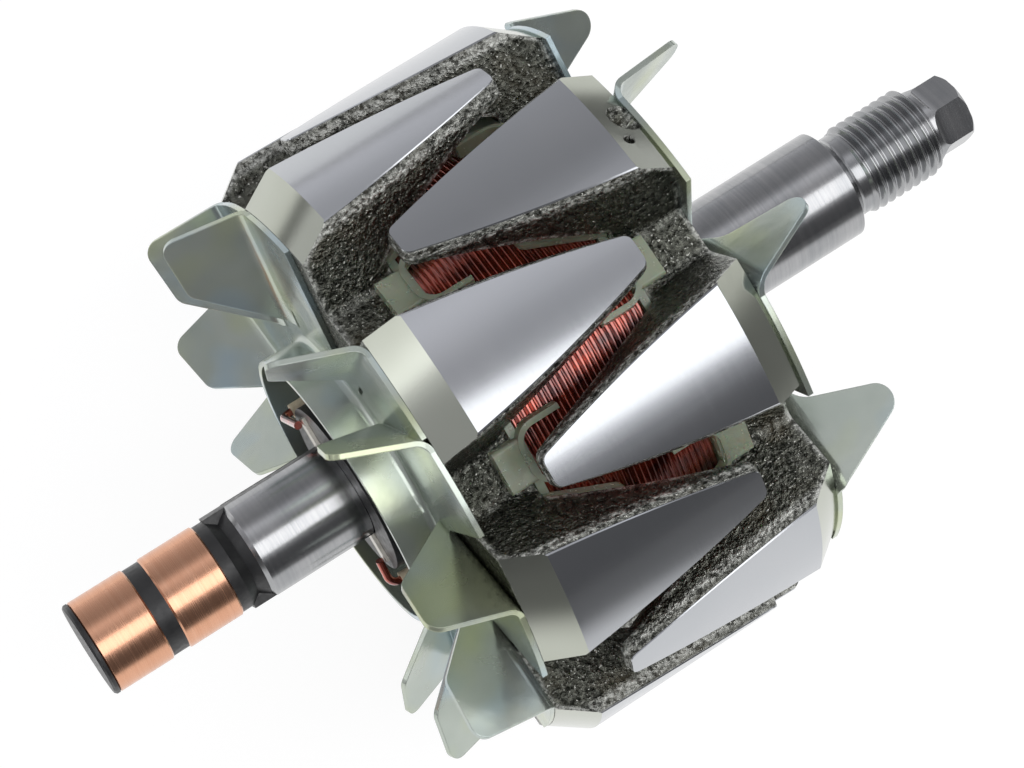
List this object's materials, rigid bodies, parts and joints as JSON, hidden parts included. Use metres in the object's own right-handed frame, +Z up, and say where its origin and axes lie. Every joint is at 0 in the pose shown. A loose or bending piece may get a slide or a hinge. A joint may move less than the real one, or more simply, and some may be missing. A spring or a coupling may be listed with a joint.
{
  "type": "alternator rotor",
  "caption": "Claw-pole alternator rotor: interlocking forged poles around a wound coil, a pressed fan on each end, slip rings on one shaft end, a thread and hex nose on the other.",
  "frame": {"origin": "on the shaft axis, in the middle of the pole pack", "axes": "+X along the shaft towards the threaded drive end, the slip rings at -X, +Z up"},
  "size_m": [0.1492, 0.094, 0.094],
  "materials": {
    "ground_steel": "ground and polished journals",
    "forged_steel": "dark gritty forging with ground outer faces",
    "core_steel": "turned",
    "fan_sheet": "pressed sheet with a pale greenish plating",
    "coil_wire": "dark red enamelled copper wire",
    "bobbin_nylon": "pale translucent nylon",
    "black_moulding": "satin black moulding",
    "ring_copper": "turned copper",
    "conductor_metal": "tinned strip",
    "sleeve_cream": "woven cream sleeving"
  },
  "bodies": {
    "root": {"shaft": "ground_steel", "rear_claw_pole": "forged_steel", "front_claw_pole": "forged_steel", "pole_core": "core_steel", "coil_bobbin": "bobbin_nylon", "field_coil": "coil_wire", "coil_start_lead": "coil_wire", "coil_finish_lead": "coil_wire", "start_lead_sleeve": "sleeve_cream", "finish_lead_sleeve": "sleeve_cream", "outer_slip_ring": "ring_copper", "inner_slip_ring": "ring_copper", "slip_ring_insulator": "black_moulding", "outer_ring_conductor": "conductor_metal", "inner_ring_conductor": "conductor_metal", "rear_fan": "fan_sheet", "front_fan": "fan_sheet"}
  },
  "joints": []
}
